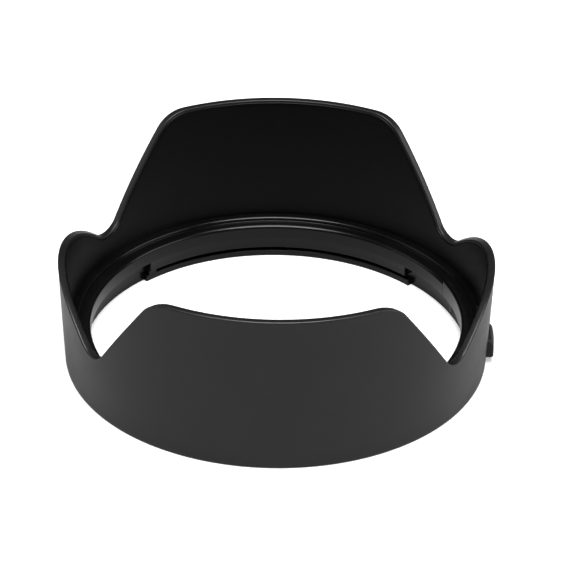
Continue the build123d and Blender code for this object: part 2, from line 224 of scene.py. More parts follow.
def sleeve(name, rows, angle):
    """A closed ring whose section changes round the axis.

    Each row of the section is a radius and a height, which are numbers or arrays over the angles.
    """
    radius = np.array([r + 0 * angle for r, _ in rows])
    height = np.array([z + 0 * angle for _, z in rows])
    points = np.stack((radius * np.cos(angle), radius * np.sin(angle), height), -1)
    return make_mesh(name, points.reshape(-1, 3), grid_quads(len(rows), len(angle), True, True))


def round_bar(name, x, y, radius, bottom, top, steps=48):
    """An upright round bar: a circle of equal steps at its bottom and at its top, with flat ends."""
    angle = np.linspace(0, 2 * pi, steps, endpoint=False)
    circle = (x + radius * np.cos(angle), y + radius * np.sin(angle))
    points = np.concatenate([np.column_stack((*circle, np.full(steps, z))) for z in (bottom, top)])
    return make_mesh(name, points, grid_quads(2, steps, False, True), end_caps(2, steps))


def lathe(name, profile, steps=720):
    """A closed profile of (radius, height) points turned round the axis by equal steps."""
    angle = np.arange(steps) * 2 * pi / steps
    points = round_the_axis(profile[:, :1], profile[:, 1:], angle[None, :])
    quads = grid_quads(len(profile), steps, True, True)
    return make_mesh(name, points.reshape(-1, 3), quads)


def swept(name, profile, start, end, steps=96):
    """A closed profile of (radius, height) points carried round between two angles, with flat ends."""
    angle = np.radians(np.linspace(start, end, steps))
    points = round_the_axis(profile[None, :, 0], profile[None, :, 1], angle[:, None])
    count = len(profile)
    quads = grid_quads(steps, count, False, True)
    return make_mesh(name, points.reshape(-1, 3), quads, end_caps(steps, count))


def rounded_profile(corners, steps=5):
    """A closed outline with its corners rounded, as an array of points.

    Each corner is (x, y, round). The arc of that radius touches both sides at the distance
    round times the tangent of half the turn, and its points are the centre plus the radius
    times a direction that turns evenly from one side's normal to the other's.
    """
    xy = np.array([corner[:2] for corner in corners])
    outline = []
    for index, corner in enumerate(corners):
        before, here, after = xy[index - 1], xy[index], xy[(index + 1) % len(xy)]
        arriving = (here - before) / np.linalg.norm(here - before)
        leaving = (after - here) / np.linalg.norm(after - here)
        turn = atan2(arriving[0] * leaving[1] - arriving[1] * leaving[0], arriving @ leaving)
        radius = corner[2]
        first = here - arriving * radius * abs(tan(turn / 2))
        side = np.sign(turn) * np.array((-arriving[1], arriving[0]))
        swing = np.linspace(0, turn, steps)[:, None]
        spoke = -side * np.cos(swing) + np.sign(turn) * arriving * np.sin(swing)
        outline.append(first + side * radius + spoke * radius)
    return np.concatenate(outline)


def arc_block(name, inner, outer, start, end, bottom, top, edge, steps=64):
    """A block bent round the axis, with all its edges rounded.

    Its section is a rectangle of radius by height. A point of it is the nearest point of the
    rectangle shrunk by the edge's radius, plus that radius along a direction. The direction
    leans from along the arc at one end, to straight out of the section over the whole length,
    to along the arc at the other end.
    """
    lean = np.linspace(-pi / 2, 0, 5)
    turn = np.concatenate([np.linspace(0, pi / 2, 5) + quarter * pi / 2 for quarter in range(4)])
    out, up = np.cos(turn), np.sin(turn)
    side_r = np.repeat((1, -1, -1, 1), 5)
    side_z = np.repeat((1, 1, -1, -1), 5)
    half_r, half_z = (outer - inner) / 2 - edge, (top - bottom) / 2 - edge
    tilt = np.concatenate((lean, np.zeros(steps), -lean[::-1]))
    along = np.concatenate((np.zeros(5), np.linspace(0, 1, steps + 2)[1:-1], np.ones(5)))
    middle = (inner + outer) / 2
    shrink = degrees(edge / middle)
    angle = np.radians(start + shrink + along * (end - start - 2 * shrink))
    angle = angle + edge * np.sin(tilt) / middle
    radius = middle + side_r * half_r + edge * np.cos(tilt)[:, None] * out
    height = (bottom + top) / 2 + side_z * half_z + edge * np.cos(tilt)[:, None] * up
    angle = np.broadcast_to(angle[:, None], radius.shape)
    points = np.stack((radius * np.cos(angle), radius * np.sin(angle), height), -1)
    rows, count = radius.shape
    quads = grid_quads(rows, count, False, True)
    return make_mesh(name, points.reshape(-1, 3), quads, end_caps(rows, count))


def straight_block(name, low, high, edge):
    """A box with rounded edges: the corners of the box shrunk by the edge's radius, plus that
    radius along the directions of a sphere, each corner taking its own eighth of the sphere."""
    low, high = np.array(low), np.array(high)
    turn = np.concatenate([np.linspace(0, pi / 2, 5) + quarter * pi / 2 for quarter in range(4)])
    rise = np.concatenate((np.linspace(-pi / 2, 0, 5), np.linspace(0, pi / 2, 5)))
    direction = np.stack(
        (
            np.cos(rise)[:, None] * np.cos(turn),
            np.cos(rise)[:, None] * np.sin(turn),
            np.sin(rise)[:, None] + 0 * turn,
        ),
        -1,
    )
    sides = np.stack(
        (
            np.broadcast_to(np.repeat((1, -1, -1, 1), 5), direction.shape[:2]),
            np.broadcast_to(np.repeat((1, 1, -1, -1), 5), direction.shape[:2]),
            np.broadcast_to(np.repeat((-1, 1), 5)[:, None], direction.shape[:2]),
        ),
        -1,
    )
    points = (low + high) / 2 + sides * ((high - low) / 2 - edge) + direction * edge
    rows, count = direction.shape[:2]
    quads = grid_quads(rows, count, False, True)
    return make_mesh(name, points.reshape(-1, 3), quads, end_caps(rows, count))


def combine(piece, tool, operation):
    """Joins a tool to a piece, or cuts it away, and keeps the result as the piece's own mesh."""
    boolean = piece.modifiers.new("combine", "BOOLEAN")
    boolean.operation = operation
    boolean.solver = "EXACT"
    boolean.object = tool
    finish_modifiers(piece)
    bpy.data.objects.remove(tool)


def finish_modifiers(piece):
    """Replaces a piece's mesh by what its modifiers make of it, and removes them."""
    depsgraph = bpy.context.evaluated_depsgraph_get()
    mesh = bpy.data.meshes.new_from_object(piece.evaluated_get(depsgraph))
    piece.modifiers.clear()
    old, name = piece.data, piece.data.name
    piece.data = mesh
    bpy.data.meshes.remove(old)
    mesh.name = name


def smooth(piece, angle=32):
    """Merges doubled points and drops slivers, then shades smoothly but for edges that turn by
    more than the angle."""
    shape = bmesh.new()
    shape.from_mesh(piece.data)
    bmesh.ops.remove_doubles(shape, verts=shape.verts, dist=MERGE)
    bmesh.ops.dissolve_degenerate(shape, dist=MERGE, edges=shape.edges)
    shape.to_mesh(piece.data)
    shape.free()
    piece.data.shade_smooth()
    piece.data.set_sharp_from_angle(angle=radians(angle))


def vertex_places(piece):
    """Places of a piece's vertices as an array."""
    places = np.empty(len(piece.data.vertices) * 3, np.float32)
    piece.data.vertices.foreach_get("co", places)
    return places.reshape(-1, 3).astype(float)


def mark_edges(piece, distance, width):
    """Stores how near each vertex is to an exposed edge: 1 on the edge, 0 from the width on."""
    value = np.clip(1 - distance / width, 0, 1)
    attribute = piece.data.attributes.new("edge", "FLOAT", "POINT")
    attribute.data.foreach_set("value", value.astype(np.float32))


# ======================================================================
# Hood wall and petals
# ======================================================================


def outer_radius(z):
    """Radius of the hood wall's outside at a height."""
    return BASE_RADIUS + FLARE * z


def inner_radius(z):
    """Radius of the hood wall's inside at a height."""
    return outer_radius(z) - WALL


def gap_outline(margin):
    """Outline of a gap between petals, grown by a margin, as distances across its plane and heights.

    It runs from the tall petal's flat top round the corner's arc, down the straight flank, round
    the valley's arc, and up a parabola that levels out at the side petal's middle.
    """
    slope, rise = radians(FLANK_SLOPE), radians(SIDE_PETAL_SLOPE)
    radius = VALLEY_RADIUS + margin
    top, tip_height = HOOD_HEIGHT - margin, SIDE_PETAL_HEIGHT - margin
    centre_x = outer_radius(VALLEY_HEIGHT) * sin(radians(VALLEY_ANGLE - 45))
    centre_z = VALLEY_HEIGHT + VALLEY_RADIUS
    tip_x = outer_radius(SIDE_PETAL_HEIGHT) * sin(radians(45))
    flank_x, flank_z = centre_x - radius * sin(slope), centre_z - radius * cos(slope)
    curve_x, curve_z = centre_x + radius * sin(rise), centre_z - radius * cos(rise)
    corner = PETAL_CORNER_RADIUS - margin
    flat_end = flank_x - (top - flank_z) / tan(slope) - corner * tan(slope / 2)
    pull_x = curve_x + (tip_height - curve_z) / tan(rise)

    round_corner = np.linspace(0, slope, 40)
    valley = np.linspace(-slope, rise, 80)
    share = np.linspace(0, 1, 80)
    parabola_x = (1 - share) ** 2 * curve_x + 2 * share * (1 - share) * pull_x + share**2 * tip_x
    parabola_z = (1 - share) ** 2 * curve_z + (1 - (1 - share) ** 2) * tip_height
    x = (flat_end + corner * np.sin(round_corner), centre_x + radius * np.sin(valley), parabola_x)
    z = (top - corner * (1 - np.cos(round_corner)), centre_z - radius * np.cos(valley), parabola_z)
    return np.concatenate(x), np.concatenate(z)


def rim_height(angle, radius_at, margin=0.0):
    """Height of the petals' rim at angles round the axis, on a cone given by its radius at a height.

    An angle from the nearer tall petal, less 45 degrees, has a sine that times the cone's radius
    is the distance across the gap's plane. The radius depends on the height sought, so both
    are worked out in turn until they agree.
    """
    from_tall = np.abs(np.degrees(angle) % 180 - 90)
    outline_x, outline_z = gap_outline(margin)
    height = np.full_like(angle, HOOD_HEIGHT)
    for _ in range(8):
        across = radius_at(height) * np.sin(np.radians(from_tall - 45))
        height = np.interp(across, outline_x, outline_z)
    return height


def steepness(height, radius, angle):
    """Length of a sloping rim for each unit of length round the axis."""
    run = np.gradient(height, angle) / radius
    return np.sqrt(1 + run**2)


def hood_shell_moulding():
    """The hood's wall: a closed section of base, outside, rim, inside and lip at each angle.

    The outside and the inside are straight lines of a cone each. The rim joins them with a
    rounded outer and a rounded inner edge. An edge's drop in height is its radius times the
    rim's steepness there, so that it looks as round on the petals' slopes as on their tops.
    """
    steps = 1440
    angle = np.arange(steps) * 2 * pi / steps
    rim_out = rim_height(angle, outer_radius)
    rim_in = rim_height(angle, inner_radius)
    steep = steepness(rim_out, BASE_RADIUS, angle)
    drop_out, drop_in = OUTER_RIM_ROUND * steep, INNER_RIM_ROUND * steep
    rows = []
    for turn in np.radians((0, 22.5, 45, 67.5, 90)):
        inset = BASE_SOFTENING * (1 - sin(turn))
        rows.append((outer_radius(BASE_SOFTENING) - inset, BASE_SOFTENING * (1 - cos(turn))))
    for share in (0.03, 0.5, 0.94, 0.985):
        height = BASE_SOFTENING + share * (rim_out - drop_out - BASE_SOFTENING)
        rows.append((outer_radius(height), height))
    for turn in np.radians((0, 15, 30, 45, 60, 75, 90)):
        inset = OUTER_RIM_ROUND * (1 - cos(turn))
        rows.append((outer_radius(rim_out) - inset, rim_out - drop_out * (1 - sin(turn))))
    for turn in np.radians((90, 67.5, 45, 22.5, 0)):
        inset = INNER_RIM_ROUND * (1 - cos(turn))
        rows.append((inner_radius(rim_in) + inset, rim_in - drop_in * (1 - sin(turn))))
    for share in (0.985, 0.94, 0.5, 0.04, 0):
        height = SEAT_LIP_HEIGHT + share * (rim_in - drop_in - SEAT_LIP_HEIGHT)
        rows.append((inner_radius(height), height))
    lip = MOULD_ROUND
    for turn in np.radians((0, 45, 90)):
        rows.append((SEAT_LIP_RADIUS + lip * (1 - sin(turn)), SEAT_LIP_HEIGHT - lip * (1 - cos(turn))))
    for turn in np.radians((90, 45, 0)):
        rows.append((SEAT_LIP_RADIUS + lip * (1 - sin(turn)), lip * (1 - cos(turn))))

    shell = sleeve("hood_shell_moulding", rows, angle)

    boss_low = (BOSS_FACE, -BOSS_HALF_WIDTH, SEAT_LIP_HEIGHT / 2)
    boss_high = (inner_radius(0) + WALL / 2, BOSS_HALF_WIDTH, LEDGE_HEIGHT)
    combine(shell, straight_block("boss", boss_low, boss_high, MOULD_ROUND), "UNION")
    half = BUTTON_WIDTH / 2 + POCKET_GAP
    pocket_floor = BOSS_FACE + POCKET_FLOOR
    pocket_low = (pocket_floor, -half, BUTTON_LOW.z - POCKET_GAP)
    pocket_high = (BUTTON_HIGH.x + WALL, half, BUTTON_HIGH.z + POCKET_GAP)
    pocket = straight_block("pocket", pocket_low, pocket_high, MOULD_ROUND)
    combine(shell, pocket, "DIFFERENCE")
    window_half = STEM_WIDTH / 2 + POCKET_GAP
    window_low = (BOSS_FACE - WALL, -window_half, STEM_BOTTOM - GLUE_GAP)
    window_high = (pocket_floor + WALL, window_half, STEM_BOTTOM + STEM_HEIGHT + GLUE_GAP)
    combine(shell, straight_block("window", window_low, window_high, GLUE_GAP), "DIFFERENCE")

    places = vertex_places(shell)
    reach = np.hypot(places[:, 0], places[:, 1])
    around = np.arctan2(places[:, 1], places[:, 0])
    below_rim = np.interp(around % (2 * pi), angle, rim_out) - places[:, 2]
    outside = reach > outer_radius(places[:, 2]) - WALL / 2
    distance = np.where(outside, np.minimum(below_rim, places[:, 2]), 1)
    mark_edges(shell, distance, 1.2 * MM)
    smooth(shell)
    return shell


def flock_layer():
    """The lining: a thin sleeve on the wall's inside, from the ring's ledge to short of the rim.

    It has a closed section at each angle, as the wall has, with its top edge rounded over.
    """
    steps = 1080
    angle = np.arange(steps) * 2 * pi / steps
    top = rim_height(angle, inner_radius, LINING_MARGIN)
    bottom = LEDGE_HEIGHT
    steep = steepness(top, BASE_RADIUS, angle)
    drop = 0.9 * LINING_THICKNESS * steep
    rows = []
    for share in (0, 0.5, 0.97):
        height = bottom + share * (top - bottom)
        rows.append((inner_radius(height) - SKIN, height))
    for turn in np.radians((0, 30, 60, 90)):
        inset = LINING_THICKNESS * sin(turn)
        rows.append((inner_radius(top) - SKIN - inset, top - drop * (1 - cos(turn))))
    for share in (0.97, 0.5, 0.02, 0):
        height = bottom + share * (top - drop - bottom)
        rows.append((inner_radius(height) - LINING_THICKNESS, height))
    lining = sleeve("flock_layer", rows, angle)
    smooth(lining, 50)
    return lining


# ======================================================================
# Bayonet ring and lock
# ======================================================================


def bayonet_ring_moulding():
    """The ring: a stepped section turned round the axis, with lugs, pads and stops added under the
    tall petals, and the lock's seat, chamber and tooth slot cut out on the button's side."""
    soft = MOULD_ROUND
    seat_z = SEAT_LIP_HEIGHT + GLUE_GAP
    profile = rounded_profile(
        (
            (inner_radius(LEDGE_HEIGHT) - GLUE_GAP, LEDGE_HEIGHT, soft),
            (STEP_RADIUS, LEDGE_HEIGHT, STEP_ROUND),
            (STEP_RADIUS, SHOULDER_HEIGHT, soft),
            (BAND_RADIUS, SHOULDER_HEIGHT, SHOULDER_ROUND),
            (BAND_RADIUS, ENTRY_DEPTH, soft),
            (CHANNEL_RADIUS, ENTRY_DEPTH, soft),
            (CHANNEL_RADIUS, 0, soft),
            (SEAT_LIP_RADIUS - GLUE_GAP, 0, soft),
            (SEAT_LIP_RADIUS - GLUE_GAP, seat_z, soft),
            (inner_radius(seat_z) - GLUE_GAP, seat_z, soft),
        ),
        steps=7,
    )
    ring = lathe("bayonet_ring_moulding", profile)
    for middle in (90, 270):
        lug = (LUG_RADIUS, ROOT_RADIUS, middle - LUG_HALF_ANGLE, middle + LUG_HALF_ANGLE)
        combine(ring, arc_block("lug", *lug, SKIN, LUG_THICKNESS, soft, 180), "UNION")
        pad_end = middle + PAD_HALF_ANGLE
        pad = (BAND_RADIUS + SKIN, ROOT_RADIUS, middle - PAD_HALF_ANGLE, pad_end)
        pad_bottom = LUG_THICKNESS + CHANNEL_HEIGHT
        pad_top = ENTRY_DEPTH + 2 * soft
        combine(ring, arc_block("pad", *pad, pad_bottom, pad_top, soft, 180), "UNION")
        stop = (LUG_RADIUS + SKIN, ROOT_RADIUS + SKIN, pad_end - STOP_ANGLE, pad_end - 0.02)
        stop_levels = (LUG_THICKNESS - 2 * soft, pad_bottom + 2 * soft)
        combine(ring, arc_block("stop", *stop, *stop_levels, soft, 12), "UNION")
    above = LEDGE_HEIGHT + WALL
    seat_end = COVER_END + 0.05
    inside = BAND_RADIUS - 2 * WALL
    tooth = (TOOTH_ANGLE - TOOTH_SLOT_HALF_ANGLE, TOOTH_ANGLE + TOOTH_SLOT_HALF_ANGLE)
    tongue = (CHAMBER_INNER + COVER_WALL - GLUE_GAP, COVER_OUTER - COVER_WALL + GLUE_GAP)
    tongue_bottom = (CHAMBER_FLOOR + CHAMBER_TOP - TONGUE_HEIGHT) / 2 - GLUE_GAP
    cuts = (
        (inside, CHAMBER_INNER + GLUE_GAP, -seat_end, seat_end, ENTRY_DEPTH - WALL, above),
        (inside, COVER_OUTER + GLUE_GAP, -seat_end, seat_end, CHAMBER_TOP - GLUE_GAP, above),
        (inside, BASE_RADIUS, -CLIP_ROOM_ANGLE, seat_end - 0.02, CHAMBER_FLOOR, CHAMBER_TOP),
        (inside, BASE_RADIUS, *tooth, TOOTH_SLOT_BOTTOM, CHAMBER_FLOOR + 2 * soft),
        (*tongue, COVER_END - 1, TONGUE_END, tongue_bottom, tongue_bottom + TONGUE_HEIGHT + 2 * GLUE_GAP),
    )
    for cut in cuts:
        combine(ring, arc_block("cut", *cut, GLUE_GAP, 60), "DIFFERENCE")
    half = BOSS_HALF_WIDTH + GLUE_GAP
    flat_low, flat_high = (BOSS_FACE - GLUE_GAP, -half, -WALL), (BASE_RADIUS, half, above)
    combine(ring, straight_block("boss_flat", flat_low, flat_high, GLUE_GAP), "DIFFERENCE")

    places = vertex_places(ring)
    reach = np.hypot(places[:, 0], places[:, 1])
    lug_corners = ((LUG_RADIUS, 0), (LUG_RADIUS, LUG_THICKNESS))
    corners = (*lug_corners, (BAND_RADIUS, SHOULDER_HEIGHT), (STEP_RADIUS, LEDGE_HEIGHT))
    distance = np.min([np.hypot(reach - r, places[:, 2] - z) for r, z in corners], 0)
    mark_edges(ring, distance, 0.9 * MM)
    smooth(ring)
    return ring


def lock_cover_moulding():
    """The lock's cover: an L-shaped section swept round from end to end, its edges softened, with
    an end wall and a tongue added at one end and a screw's seat cut into the other."""
    soft = MOULD_ROUND
    profile = rounded_profile(
        (
            (COVER_OUTER, LEDGE_HEIGHT, soft),
            (BAND_RADIUS, LEDGE_HEIGHT, SHOULDER_ROUND),
            (BAND_RADIUS, ENTRY_DEPTH + GLUE_GAP, soft),
            (CHAMBER_INNER, ENTRY_DEPTH + GLUE_GAP, soft),
            (CHAMBER_INNER, CHAMBER_TOP, soft),
            (COVER_OUTER, CHAMBER_TOP, soft),
        ),
        steps=7,
    )
    cover = swept("lock_cover_moulding", profile, -COVER_END, COVER_END, 120)
    bevel = cover.modifiers.new("softened_ends", "BEVEL")
    bevel.width = 0.1 * MM
    bevel.segments = 3
    bevel.limit_method = "ANGLE"
    bevel.angle_limit = radians(60)
    finish_modifiers(cover)
    wall_start = COVER_END - degrees(COVER_WALL / CHANNEL_RADIUS)
    outer = COVER_OUTER - COVER_WALL
    end_wall = (CHAMBER_INNER - soft, outer, wall_start, COVER_END)
    wall_levels = (CHAMBER_FLOOR + 3 * GLUE_GAP, CHAMBER_TOP + soft)
    combine(cover, arc_block("end_wall", *end_wall, *wall_levels, GLUE_GAP, 4), "UNION")
    tongue_bottom = (CHAMBER_FLOOR + CHAMBER_TOP - TONGUE_HEIGHT) / 2
    tongue = (CHAMBER_INNER + COVER_WALL, outer - GLUE_GAP, wall_start + 0.1, TONGUE_END)
    tongue_levels = (tongue_bottom, tongue_bottom + TONGUE_HEIGHT)
    combine(cover, arc_block("tongue", *tongue, *tongue_levels, GLUE_GAP, 4), "UNION")
    low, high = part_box("cover_screw")
    centre = (low + high) / 2
    head = (high.x - low.x) / 2 + GLUE_GAP
    for radius, bottom in ((head, high.z - SCREW_HEAD_HEIGHT), (head * 0.6, low.z)):
        seat = round_bar("screw_seat", centre.x, centre.y, radius, bottom, high.z + WALL)
        combine(cover, seat, "DIFFERENCE")

    places = vertex_places(cover)
    reach = np.hypot(places[:, 0], places[:, 1])
    around = np.degrees(np.arctan2(places[:, 1], places[:, 0]))
    to_end = np.radians(COVER_END - np.abs(around)) * reach
    to_edge = np.hypot(reach - COVER_OUTER, places[:, 2] - LEDGE_HEIGHT)
    mark_edges(cover, np.minimum(to_end, to_edge), 0.8 * MM)
    smooth(cover)
    return cover


def release_button_moulding():
    """The release button: a crowned cap with upright ribs, a stem and a rounded nose.

    The cap's outline is a rounded rectangle. Loops of it shrink from the side wall inwards.
    A point's distance out is the face's radius round the axis, less the drop of the top and
    bottom rounds at its height, less the drop of the rounded rim, less the ribs' grooves.
    """
    face, bottom = BUTTON_HIGH.x, BUTTON_LOW.z
    stem_top = STEM_BOTTOM + STEM_HEIGHT
    top = stem_top + BUTTON_BROW
    back = BOSS_FACE + POCKET_FLOOR + BUTTON_TRAVEL + GLUE_GAP
    middle_z = (bottom + top) / 2
    half_y, half_z = BUTTON_WIDTH / 2, (top - bottom) / 2
    insets = BUTTON_SIDE_ROUND * (1 - np.cos(np.linspace(0, pi / 2, 7)))
    turn = np.concatenate([np.linspace(0, pi / 2, 7) + quarter * pi / 2 for quarter in range(4)])
    side_y, side_z = np.repeat((1, -1, -1, 1), 7), np.repeat((1, 1, -1, -1), 7)

    def outline(inset, count):
        """The rounded rectangle shrunk by an inset, with its long sides divided evenly."""
        corner = max(BUTTON_CORNER - inset, 0.1 * MM)
        y = side_y * (half_y - inset - corner) + corner * np.cos(turn)
        z = side_z * (half_z - inset - corner) + corner * np.sin(turn)
        y, z = np.append(y, y[0]), np.append(z, z[0])
        length = np.concatenate(([0], np.cumsum(np.hypot(np.diff(y), np.diff(z)))))
        even = np.linspace(0, length[-1], count, endpoint=False)
        return np.interp(even, length, y), np.interp(even, length, z)

    count = 320
    loops = []
    y, z = outline(0, count)
    loops.append((y, z, np.full(count, back - face), False))
    for inset in insets:
        y, z = outline(inset, count)
        drop = BUTTON_SIDE_ROUND - np.sqrt(BUTTON_SIDE_ROUND**2 - (BUTTON_SIDE_ROUND - inset) ** 2)
        loops.append((y, z, np.full(count, -drop), True))
    for share in np.linspace(0.97, 0.02, 40):
        loops.append((y * share, z * share, np.zeros(count), True))

    points = []
    for y, z, offset, crowned in loops:
        height = z + middle_z
        upper = np.clip(height - (top - BUTTON_TOP_ROUND), 0, BUTTON_TOP_ROUND)
        lower = np.clip((bottom + BUTTON_BOTTOM_ROUND) - height, 0, BUTTON_BOTTOM_ROUND)
        fall = BUTTON_TOP_ROUND - np.sqrt(BUTTON_TOP_ROUND**2 - upper**2)
        fall = fall + BUTTON_BOTTOM_ROUND - np.sqrt(BUTTON_BOTTOM_ROUND**2 - lower**2)
        edge_y = np.clip((half_y - RIB_SIDE_MARGIN - np.abs(y)) / RIB_SIDE_FADE, 0, 1)
        edge_z = np.clip((half_z - RIB_END_MARGIN - np.abs(z)) / RIB_END_FADE, 0, 1)
        groove = RIB_DEPTH * (0.5 - 0.5 * np.cos(2 * pi * y / RIB_PITCH)) ** 3 * edge_y * edge_z
        reach = face - fall - groove
        x = np.sqrt(reach**2 - y**2) + offset if crowned else face + offset
        x = np.maximum(x, back + SKIN if crowned else back)
        points.append(np.stack((x + 0 * y, y, height), -1))
    quads = grid_quads(len(points), count, False, True)
    caps = end_caps(len(points), count)
    button = make_mesh("release_button_moulding", np.concatenate(points), quads, caps)

    stem_low = (BOSS_FACE, -STEM_WIDTH / 2, STEM_BOTTOM)
    stem_high = (back + 0.3 * MM, STEM_WIDTH / 2, stem_top)
    combine(button, straight_block("stem", stem_low, stem_high, GLUE_GAP), "UNION")
    neck_low = (CLIP_LOW.x, -NECK_WIDTH / 2, STEM_BOTTOM)
    neck_high = (back, NECK_WIDTH / 2, stem_top)
    combine(button, straight_block("neck", neck_low, neck_high, GLUE_GAP), "UNION")
    nose_x = BUTTON_LOW.x + NOSE_RADIUS
    nose = round_bar("nose", nose_x, NOSE_OFFSET, NOSE_RADIUS, STEM_BOTTOM, stem_top)
    combine(button, nose, "UNION")

    places = vertex_places(button)
    to_rim = np.minimum(half_y - np.abs(places[:, 1]), half_z - np.abs(places[:, 2] - middle_z))
    outer = places[:, 0] > face - BUTTON_TOP_ROUND
    mark_edges(button, np.where(outer, np.abs(to_rim - 0.2 * MM), 1), 0.5 * MM)
    smooth(button)
    return button


# ======================================================================
# Materials
# ======================================================================


class Nodes:
    """Adds nodes to a material or a node group, each with its inputs set or linked by name."""

    def __init__(self, tree):
        self.tree = tree

    def add(self, kind, inputs=None, **settings):
        node = self.tree.nodes.new(kind)
        for key, value in settings.items():
            setattr(node, key, value)
        for key, value in (inputs or {}).items():
            if isinstance(value, bpy.types.NodeSocket):
                self.tree.links.new(value, node.inputs[key])
            else:
                node.inputs[key].default_value = value
        return node

    def group(self, name, inputs):
        """One of the shared node groups."""
        return self.add("ShaderNodeGroup", inputs, node_tree=GROUPS[name])

    def ramp(self, value, low, high, out_low=0.0, out_high=1.0):
        """A value carried smoothly from one range to another and held at its ends."""
        inputs = {"Value": value, "From Min": low, "From Max": high, "To Min": out_low, "To Max": out_high}
        return self.add("ShaderNodeMapRange", inputs, interpolation_type="SMOOTHSTEP").outputs["Result"]

    def math(self, operation, first, second):
        return self.add("ShaderNodeMath", {0: first, 1: second}, operation=operation).outputs[0]

    def noise(self, vector, scale, detail=3.0, roughness=0.55):
        inputs = {"Vector": vector, "Scale": scale, "Detail": detail, "Roughness": roughness}
        return self.add("ShaderNodeTexNoise", inputs).outputs["Fac"]

    def blend(self, share, first, second):
        """One colour going over to another by a share."""
        node = self.add("ShaderNodeMix", data_type="RGBA")
        for socket, value in ((node.inputs[0], share), (node.inputs[6], first), (node.inputs[7], second)):
            if isinstance(value, bpy.types.NodeSocket):
                self.tree.links.new(value, socket)
            else:
                socket.default_value = value
        return node.outputs[2]


def node_group(name, inputs, outputs):
    """An empty shader node group with named inputs and outputs. Returns its builder and its end nodes."""
    tree = bpy.data.node_groups.new(name, "ShaderNodeTree")
    for label, kind, value in inputs:
        socket = tree.interface.new_socket(label, in_out="INPUT", socket_type=kind)
        if value is not None:
            socket.default_value = value
    for label, kind in outputs:
        tree.interface.new_socket(label, in_out="OUTPUT", socket_type=kind)
    nodes = Nodes(tree)
    entry, leave = nodes.add("NodeGroupInput"), nodes.add("NodeGroupOutput")
    return nodes, entry, leave


def spark_grain_group():
    """The fine eroded grain of a mould: cells and noise at two sizes. Height runs from 0 to 1."""
    nodes, entry, leave = node_group(
        "mould_grain",
        (("Vector", "NodeSocketVector", None), ("Size", "NodeSocketFloat", 0.0001)),
        (("Height", "NodeSocketFloat"), ("Patch", "NodeSocketFloat")),
    )
    scale = nodes.math("DIVIDE", 1.0, entry.outputs["Size"])
    cells = nodes.add(
        "ShaderNodeTexVoronoi",
        {"Vector": entry.outputs["Vector"], "Scale": scale},
        feature="SMOOTH_F1",
    ).outputs["Distance"]
    fine = nodes.noise(entry.outputs["Vector"], nodes.math("MULTIPLY", scale, 0.5), 4.0)
    height = nodes.math("ADD", nodes.math("MULTIPLY", cells, 0.6), nodes.math("MULTIPLY", fine, 0.6))
    patch = nodes.noise(entry.outputs["Vector"], nodes.math("MULTIPLY", scale, 0.008), 4.0)
    nodes.tree.links.new(height, leave.inputs["Height"])
    nodes.tree.links.new(patch, leave.inputs["Patch"])
    return nodes.tree


def edge_wear_group():
    """Rubbed edges: the stored nearness to an edge, broken up by noise."""
    nodes, entry, leave = node_group(
        "edge_wear",
        (("Vector", "NodeSocketVector", None), ("Amount", "NodeSocketFloat", 0.5)),
        (("Mask", "NodeSocketFloat"),),
    )
    near = nodes.add("ShaderNodeAttribute", attribute_name="edge").outputs["Fac"]
    broken = nodes.noise(entry.outputs["Vector"], 900.0, 5.0, 0.7)
    rubbed = nodes.math("MULTIPLY", near, nodes.ramp(broken, 0.35, 0.75, 0.25, 1.0))
    mask = nodes.math("MULTIPLY", nodes.ramp(rubbed, 0.15, 0.95), entry.outputs["Amount"])
    nodes.tree.links.new(mask, leave.inputs["Mask"])
    return nodes.tree


def dust_group():
    """Fine dust: sparse specks, more of them on faces that look up."""
    nodes, entry, leave = node_group(
        "fine_dust",
        (("Vector", "NodeSocketVector", None), ("Amount", "NodeSocketFloat", 0.3)),
        (("Mask", "NodeSocketFloat"),),
    )
    normal = nodes.add("ShaderNodeNewGeometry").outputs["Normal"]
    up = nodes.add("ShaderNodeSeparateXYZ", {"Vector": normal}).outputs["Z"]
    specks = nodes.ramp(nodes.noise(entry.outputs["Vector"], 2600.0, 2.0), 0.66, 0.74)
    drifts = nodes.ramp(nodes.noise(entry.outputs["Vector"], 90.0, 4.0), 0.4, 0.7, 0.2, 1.0)
    settled = nodes.math("MULTIPLY", nodes.ramp(up, -0.2, 1.0, 0.3, 1.0), drifts)
    mask = nodes.math("MULTIPLY", nodes.math("MULTIPLY", specks, settled), entry.outputs["Amount"])
    nodes.tree.links.new(mask, leave.inputs["Mask"])
    return nodes.tree


def fibre_group():
    """Flock: short upright fibres as tiny cells, ruffled by slower noise."""
    nodes, entry, leave = node_group(
        "flock_fibres",
        (("Vector", "NodeSocketVector", None), ("Size", "NodeSocketFloat", 0.00006)),
        (("Height", "NodeSocketFloat"), ("Shade", "NodeSocketFloat")),
    )
    scale = nodes.math("DIVIDE", 1.0, entry.outputs["Size"])
    tips = nodes.add(
        "ShaderNodeTexVoronoi", {"Vector": entry.outputs["Vector"], "Scale": scale}, feature="F1"
    ).outputs["Distance"]
    ruffle = nodes.noise(entry.outputs["Vector"], nodes.math("MULTIPLY", scale, 0.12), 4.0, 0.65)
    height = nodes.math("SUBTRACT", ruffle, nodes.math("MULTIPLY", tips, 0.8))
    nodes.tree.links.new(height, leave.inputs["Height"])
    nodes.tree.links.new(nodes.ramp(ruffle, 0.3, 0.7), leave.inputs["Shade"])
    return nodes.tree


GROUPS = {
    "grain": spark_grain_group(),
    "wear": edge_wear_group(),
    "dust": dust_group(),
    "fibres": fibre_group(),
}


def start_material(name, **constants):
    """A material with one principled shader. Constants go straight onto the shader's sockets."""
    material = bpy.data.materials.new(name)
    material.use_nodes = True
    tree = material.node_tree
    shader = tree.nodes["Principled BSDF"]
    for label, value in constants.items():
        shader.inputs[label.replace("_", " ")].default_value = value
    return material, Nodes(tree), shader


